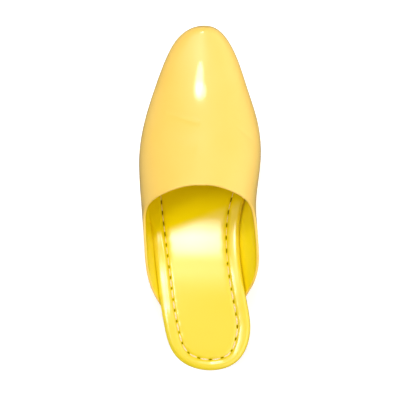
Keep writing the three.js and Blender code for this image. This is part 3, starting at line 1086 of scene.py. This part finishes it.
@dataclass
class Insole:
    """Padded footbed wrapped in leather, with a rolled rim and a sewn groove."""

    last: Last
    points: int = 900
    profile_steps: int = 60
    under_steps: int = 20
    panel_columns: int = 24
    trace_points: int = 12001
    groove: float = 10.2
    groove_heel: float = 8.5
    heel_round: Span = (0.0, 26.0)
    crown: float = 0.1
    crown_width: float = 40.0
    padded_from: float = 3.0
    waist: Span = (72.0, 172.0)
    waist_sag: float = 2.8
    cant: float = 0.02
    cant_rise: Span = (30.0, 70.0)
    cant_fall: Span = (130.0, 170.0)
    step_height: float = 1.9
    step_rise: Span = (-4.0, 0.0)
    flush_rise: Span = (107.0, 120.0)
    flush_fall: Span = (165.0, 200.0)
    bevel: float = 1.1
    bevel_rise: Span = (34.0, 56.0)
    bevel_fall: Span = (80.0, 108.0)
    shoulder: float = 3.4
    shoulder_fall: Span = (190.0, 235.0)
    stitch_pitch: float = 9.2
    pitch_change: float = 0.8
    hole_length: float = 1.0
    hole_width: float = 0.4
    hole_depth: float = 0.6
    hole_lengths: Span = (0.8, 1.25)
    hole_strengths: Span = (0.65, 1.0)
    # How strongly the holes are darkened in colour: painted shade
    hole_shade_strength: float = 1.6
    dashes: Span = (60.0, 125.0)
    dash_stretch: float = 0.8
    pucker: float = 0.18
    pucker_length: float = 2.4
    pucker_width: float = 2.6
    seed: int = 5
    angles: Array = field(init=False)

    def __post_init__(self) -> None:
        """Spreads the points round the outline."""
        self.angles = np.arange(self.points) * TURN / self.points

    def groove_inset(self, angle: Array) -> Array:
        """Distance of the sewn groove from the edge, narrower round the heel."""
        aside = ease(station_of(angle, self.last.insole_length), *self.heel_round)
        return self.groove_heel + (self.groove - self.groove_heel) * aside

    def stitch_count(self, angle: Array) -> Array:
        """Counts stitches along the groove: length over a pitch that is shorter on the outer side.

        Args:
            angle: places from the heel once round the outline.

        Returns:
            How many stitches lie before each place, a whole number once round.
        """
        fine = np.linspace(0, TURN, self.trace_points)
        run = np.diff(travelled(self.last.insole_outline(fine, self.groove_inset(fine))))
        pitch = self.stitch_pitch - self.pitch_change * np.sin((fine[1:] + fine[:-1]) / 2)
        count = np.concatenate([[0], np.cumsum(run / pitch)])
        count *= np.round(count[-1]) / count[-1]
        return np.interp(angle, fine, count)

    def sag(self, plan: Array) -> Array:
        """How far the padding is pressed in: a cosine-squared hollow at the waist, and a cant.

        Args:
            plan: places across and along, on a last axis of two.

        Returns:
            The depth at each place.
        """
        middle, half = np.mean(self.waist), np.ptp(self.waist) / 2
        turn = np.clip((plan[..., 1] - middle) / half, -1, 1) * np.pi / 2
        canted = self.cant * between(plan[..., 1], self.cant_rise, self.cant_fall)
        return self.waist_sag * np.cos(turn) ** 2 - canted * plan[..., 0]

    def profile(self) -> tuple[Array, Array]:
        """Section of the rim, from the underside over the roll to the panel.

        A smooth curve through the tabled knots of inset and height, one for each angle. On
        the outer side the rim's top leans out as the sine of the angle, is bevelled beside
        the waist, and lies flush against the lining at the front.

        Returns:
            Insets and heights over the sole, profile steps by angles.
        """
        y = station_of(self.angles, self.last.insole_length)
        one = np.ones_like(y)
        outside = self.angles < np.pi
        lean = np.sin(self.angles)
        flush = outside * between(y, self.flush_rise, self.flush_fall)
        bevel = outside * self.bevel * between(y, self.bevel_rise, self.bevel_fall)
        shoulder = self.shoulder * (1 - ease(y, *self.shoulder_fall))
        step = self.step_height * ease(self.last.past_wing_end(self.angles), *self.step_rise)
        across = np.stack([one, self.groove_inset(self.angles), lean, flush, shoulder])
        upward = np.stack([one, step, np.maximum(lean, 0) ** 0.5, flush, bevel, shoulder])
        section = np.array(INSOLE_SECTION)
        insets = section[:, : len(across)] @ across
        heights = section[:, len(across) :] @ upward
        run = np.hypot(np.diff(insets, axis=0), np.diff(heights, axis=0)).mean(axis=1)
        at = np.concatenate([[0], np.cumsum(run)])
        read = np.linspace(0, at[-1], self.profile_steps)
        return Curve(at, insets)(read), Curve(at, heights)(read)

    def holes(self, insets: Array) -> tuple[Array, Array]:
        """Where the needle went through: a bell round each hole of the groove.

        Holes differ a little in length and strength, from a seeded draw, and are drawn
        out to dashes towards the front. The underside has none.

        Args:
            insets: distance from the edge, profile steps by angles.

        Returns:
            Strength of the hole, which both sinks it and darkens it as painted shade, and of the wide
            shallow pucker around it.
        """
        count = self.stitch_count(self.angles)
        number = np.round(count).astype(int)
        draw = np.random.default_rng(self.seed)
        longer = draw.uniform(*self.hole_lengths, number.max() + 1)
        darker = draw.uniform(*self.hole_strengths, number.max() + 1)
        along = (count - number) * self.stitch_pitch
        across = insets - self.groove_inset(self.angles)
        ahead = ease(station_of(self.angles, self.last.insole_length), *self.dashes)
        length = self.hole_length * longer[number] * (1 + self.dash_stretch * ahead)
        hole = np.exp(-((along / length) ** 4)) * np.exp(-((across / self.hole_width) ** 2))
        pucker = np.exp(-((along / self.pucker_length) ** 2) - (across / self.pucker_width) ** 2)
        above = (np.arange(self.profile_steps) >= self.under_steps)[:, np.newaxis]
        return above * darker[number] * hole, above * pucker

    def build(self) -> bpy.types.Object:
        """Builds rim, groove and a lightly crowned panel as one closed skin.

        The panel is ruled from side to side, and its crown is half a sine across.

        Returns:
            The piece.
        """
        insets, heights = self.profile()
        hole, pucker = self.holes(insets)
        plan = self.last.insole_outline(self.angles, insets)
        pressed = self.sag(plan) * ease(heights, self.padded_from, GROOVE_FLOOR)
        sunk = heights - self.hole_depth * hole - self.pucker * pucker - pressed
        rings = raised(plan, self.last.sole_top(plan[..., 1]) + self.last.gap + sunk)
        left = np.arange(self.points // 2 + 1)
        right = -left % self.points
        across = np.linspace(0, 1, self.panel_columns + 1)[:, np.newaxis, np.newaxis]
        panel = rings[-1, left] * (1 - across) + rings[-1, right] * across
        width = np.linalg.norm(rings[-1, left] - rings[-1, right], axis=-1)
        crown = self.crown * np.minimum(1, width / self.crown_width)
        panel[..., 2] += crown * np.sin(np.pi * across[..., 0])
        rim = numbered(rings)
        bed = numbered(panel) + rim.size
        bed[0], bed[-1] = rim[-1, left], rim[-1, right]
        bed[:, 0], bed[:, -1] = rim[-1, 0], rim[-1, left[-1]]
        under = np.stack([rim[0, right], rim[0, left]])
        faces = np.concatenate([grid_quads(rim, closed=True), grid_quads(bed), grid_quads(under)])
        points = np.concatenate([rings.reshape(-1, 3), panel.reshape(-1, 3)])
        # Painted shade: the holes are darkened in colour, beyond their shallow dip
        painted_hole_shade = np.clip(self.hole_shade_strength * hole, 0, 1).reshape(-1)
        marks = {"hole": np.concatenate([painted_hole_shade, np.zeros(bed.size)])}
        piece = make_mesh("insole_padded", points, faces, marks)
        piece.data.materials.append(Finish.BED.material())
        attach(piece, "root")
        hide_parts("insole")
        return piece


@dataclass
class Stitching:
    """The row of stitches that lies in the insole's groove."""

    insole: Insole
    thread: float = 0.55
    clear: float = 1.3
    bow: float = 0.5
    bedded: float = 0.15
    sunk: Span = (50.0, 95.0)
    thinned: float = 0.65
    trace_points: int = 6001
    length_steps: int = 10
    round_steps: int = 8

    def build(self) -> bpy.types.Object:
        """Carries a small round section along each stitch.

        Each stitch runs between two holes, clear of both; it rises as half a sine from
        just under the groove's floor and thins to a point at both ends. Towards the
        front it is pulled thin, so less of it shows.

        Returns:
            The piece.
        """
        last = self.insole.last
        angle = np.linspace(0, TURN, self.trace_points)
        passed = self.insole.stitch_count(angle)
        count = int(np.round(passed[-1]))
        t = np.linspace(0, 1, self.length_steps + 1)
        clear = self.clear / self.insole.stitch_pitch
        reach = np.arange(count)[:, np.newaxis] + clear + t * (1 - 2 * clear)
        where = np.interp(reach, passed, angle)
        plan = last.insole_outline(where, self.insole.groove_inset(where))
        arch = np.maximum(0, np.sin(np.pi * t))
        lift = GROOVE_FLOOR + last.gap + self.bow * arch - self.bedded
        path = raised(plan, last.sole_top(plan[..., 1]) + lift - self.insole.sag(plan))
        ahead = unit(np.gradient(path, axis=1))
        side = unit(np.cross(ahead, (0.0, 0.0, 1.0)))
        up = np.cross(side, ahead)
        turn = np.arange(self.round_steps)[:, np.newaxis] * TURN / self.round_steps
        ring = np.cos(turn) * side[:, :, np.newaxis] + np.sin(turn) * up[:, :, np.newaxis]
        girth = self.thread * np.sqrt(arch) * (1 - self.thinned * ease(plan[..., 1], *self.sunk))
        skin = path[:, :, np.newaxis] + girth[..., np.newaxis, np.newaxis] * ring
        one = numbered(skin[0])
        one[0], one[-1] = one[0, 0], one[-1, 0]
        shift = np.arange(count)[:, np.newaxis, np.newaxis] * one.size
        faces = (grid_quads(one, closed=True) + shift).reshape(-1, 4)
        piece = make_mesh("insole_stitching", skin, faces)
        piece.data.materials.append(Finish.THREAD.material())
        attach(piece, "root")
        return piece


@dataclass
class Outsole:
    """Sheet of sole leather with eased edges, arch and toe spring."""

    last: Last
    points: int = 480
    inset_heel: float = 1.2
    let_out: float = 2.6
    forepart: Span = (108.0, 152.0)
    ease_under: float = 0.9
    ease_top: float = 0.5
    edge_steps: int = 6

    def build(self) -> bpy.types.Object:
        """Stacks outlines of the insole, let out at the forepart, rounded at both edges.

        Returns:
            The piece.
        """
        angle = np.arange(self.points) * TURN / self.points
        y = station_of(angle, self.last.insole_length)
        edge = self.inset_heel - self.let_out * ease(y, *self.forepart)
        bend = np.linspace(0, np.pi / 2, self.edge_steps)[:, np.newaxis]
        low_in, low = self.ease_under * (1 - np.sin(bend)), self.ease_under * (1 - np.cos(bend))
        high_in, high = self.ease_top * (1 - np.cos(bend)), self.ease_top * (1 - np.sin(bend))
        plan = self.last.insole_outline(angle, edge + np.concatenate([low_in, high_in]))
        rise = np.concatenate([low, self.last.sole_thickness - high])
        rings = raised(plan, self.last.sole_under(plan[..., 1]) + rise)
        piece = stack_piece("outsole_leather", rings)
        piece.data.materials.append(Finish.SOLE.material())
        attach(piece, "root")
        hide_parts("outsole")
        return piece


@dataclass
class Heel:
    """Low heel block with a straight breast and a slight taper."""

    last: Last
    length: float = 56.0
    inset: float = 2.2
    taper: float = 1.6
    ease_under: float = 0.6
    edge_steps: int = 6
    side_points: int = 120

    def build(self) -> bpy.types.Object:
        """Stacks the heel end of the insole's outline, drawn in towards the floor.

        Returns:
            The piece.
        """
        breast = float(angle_of(np.array(self.length), self.last.insole_length))
        side = np.linspace(0, breast, self.side_points)
        angle = np.concatenate([side, TURN - side[:0:-1]])
        bend = np.linspace(0, np.pi / 2, self.edge_steps)
        taken = self.inset + self.taper + self.ease_under * (1 - np.sin(bend))
        plan = self.last.insole_outline(angle, np.append(taken, self.inset)[:, np.newaxis])
        low = self.ease_under * (1 - np.cos(bend))[:, np.newaxis] * np.ones(len(angle))
        seat = self.last.sole_under(plan[-1:, :, 1]) - self.last.gap
        piece = stack_piece("heel_block", raised(plan, np.concatenate([low, seat])))
        piece.data.materials.append(Finish.HEEL.material())
        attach(piece, "root")
        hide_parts("heel")
        return piece


# Studio


class Lamp(NamedTuple):
    """An oval softbox in front of the toe: its angles and sizes in degrees, and its radiance."""

    name: str
    across: float
    ahead: float
    wide: float
    long: float
    radiance: float


class Glow(NamedTuple):
    """A patch of the studio's dome that shines brighter.

    Its angles are in degrees, from straight above and round from the inner side; the
    higher its power, the smaller it is.
    """

    tilt: float
    bearing: float
    strength: float
    power: float


@dataclass
class Studio:
    """White sheet, a key light of two softboxes, a soft dome and a camera straight above."""

    floor_half: float = 3.0
    camera_height: float = 1.515
    view_width: float = 0.3118
    sensor: float = 36.0
    reference_height: float = 0.015
    centre_y: float = -0.002
    lamp_distance: float = 1.6
    lamps: tuple[Lamp, ...] = (
        Lamp("key lamp", -3.5, 32.5, 7.0, 16.0, 18.0),
        Lamp("key lamp end", -2.6, 37.5, 10.5, 7.0, 18.0),
    )
    even: float = 0.1
    glows: tuple[Glow, ...] = (
        # Nearly overhead, mirrored in the sloping footbed
        Glow(14.0, 110.0, 3.2, 60.0),
        # Behind the inner side, reaching in under the vamp
        Glow(42.0, 320.0, 1.75, 8.0),
        # Broad fill from the front, the inner and the outer side
        Glow(45.0, 90.0, 0.2, 3.0),
        Glow(62.0, 20.0, 1.15, 5.0),
        Glow(60.0, 180.0, 0.25, 3.0),
        # Small, over the outer side, mirrored in the bevelled rim
        Glow(29.0, 172.0, 15.0, 90.0),
    )

    def build(self) -> None:
        """Sets floor, lights and camera."""
        self.floor()
        self.hang()
        self.dome()
        self.camera()

    def floor(self) -> None:
        """Lays the sheet flat and wide, unseen in the leather's gloss."""
        half = self.floor_half
        corners = [(-half, -half, 0.0), (half, -half, 0.0), (half, half, 0.0), (-half, half, 0.0)]
        mesh = bpy.data.meshes.new("white_floor")
        mesh.from_pydata(corners, [], [(0, 1, 2, 3)])
        sheet = bpy.data.objects.new("white_floor", mesh)
        bpy.context.collection.objects.link(sheet)
        mesh.materials.append(Finish.SHEET.material())
        sheet.visible_glossy = False

    def hang(self) -> None:
        """Hangs the softboxes out of the camera's sight; power is pi times radiance times area."""
        for lamp in self.lamps:
            data = bpy.data.lights.new(lamp.name, "AREA")
            data.shape = "ELLIPSE"
            halves = np.tan(np.radians([lamp.wide, lamp.long]) / 2)
            data.size, data.size_y = (2 * self.lamp_distance * halves).tolist()
            data.energy = lamp.radiance * np.pi * np.pi / 4 * data.size * data.size_y
            box = bpy.data.objects.new(lamp.name, data)
            slopes = np.tan(np.radians([lamp.across, lamp.ahead])).tolist()
            away = Vector((*slopes, 1.0)).normalized()
            box.location = away * self.lamp_distance
            box.rotation_euler = (-away).to_track_quat("-Z", "Y").to_euler()
            box.visible_camera = False
            bpy.context.collection.objects.link(box)

    def dome(self) -> None:
        """Lights the world evenly, and adds each glow as a power of the cosine from its middle."""
        world = bpy.data.worlds.new("studio dome")
        world.use_nodes = True
        tree = world.node_tree
        toward = add_node(tree, "ShaderNodeTexCoord").outputs["Generated"]
        total = add_node(tree, "ShaderNodeValue")
        total.outputs[0].default_value = self.even
        for glow in self.glows:
            tilt, bearing = np.radians([glow.tilt, glow.bearing])
            flat = np.sin(tilt) * np.array([np.cos(bearing), np.sin(bearing)])
            middle = (*flat.tolist(), float(np.cos(tilt)))
            cosine = add_node(
                tree, "ShaderNodeVectorMath", {1: middle}, {0: toward}, operation="DOT_PRODUCT"
            )
            front = add_node(
                tree, "ShaderNodeMath", {1: 0.0}, {0: cosine.outputs["Value"]}, operation="MAXIMUM"
            )
            broad = add_node(
                tree, "ShaderNodeMath", {1: glow.power}, {0: front.outputs[0]}, operation="POWER"
            )
            total = add_node(
                tree,
                "ShaderNodeMath",
                {1: glow.strength},
                {0: broad.outputs[0], 2: total.outputs[0]},
                operation="MULTIPLY_ADD",
            )
        shade = tree.nodes["Background"]
        shade.inputs["Color"].default_value = linear("FFFFFF")
        tree.links.new(total.outputs[0], shade.inputs["Strength"])
        bpy.context.scene.world = world

    def camera(self) -> None:
        """Hangs the camera over the slipper, toe up in the picture."""
        data = bpy.data.cameras.new("overhead camera")
        data.sensor_width = self.sensor
        data.lens = self.sensor * (self.camera_height - self.reference_height) / self.view_width
        camera = bpy.data.objects.new("overhead camera", data)
        camera.location = (0.0, self.centre_y, self.camera_height)
        bpy.context.collection.objects.link(camera)
        scene = bpy.context.scene
        scene.camera = camera
        scene.view_settings.view_transform = "Standard"


def main() -> None:
    """Builds the slipper and its studio."""
    logging.basicConfig(level=logging.INFO, format="%(message)s")
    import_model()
    last = Last()
    insole = Insole(last)
    for maker in (Upper(last), insole, Stitching(insole), Outsole(last), Heel(last)):
        piece = maker.build()
        LOG.info("%s: %d faces", piece.name, len(piece.data.polygons))
    Studio().build()


if __name__ == "__main__":
    main()
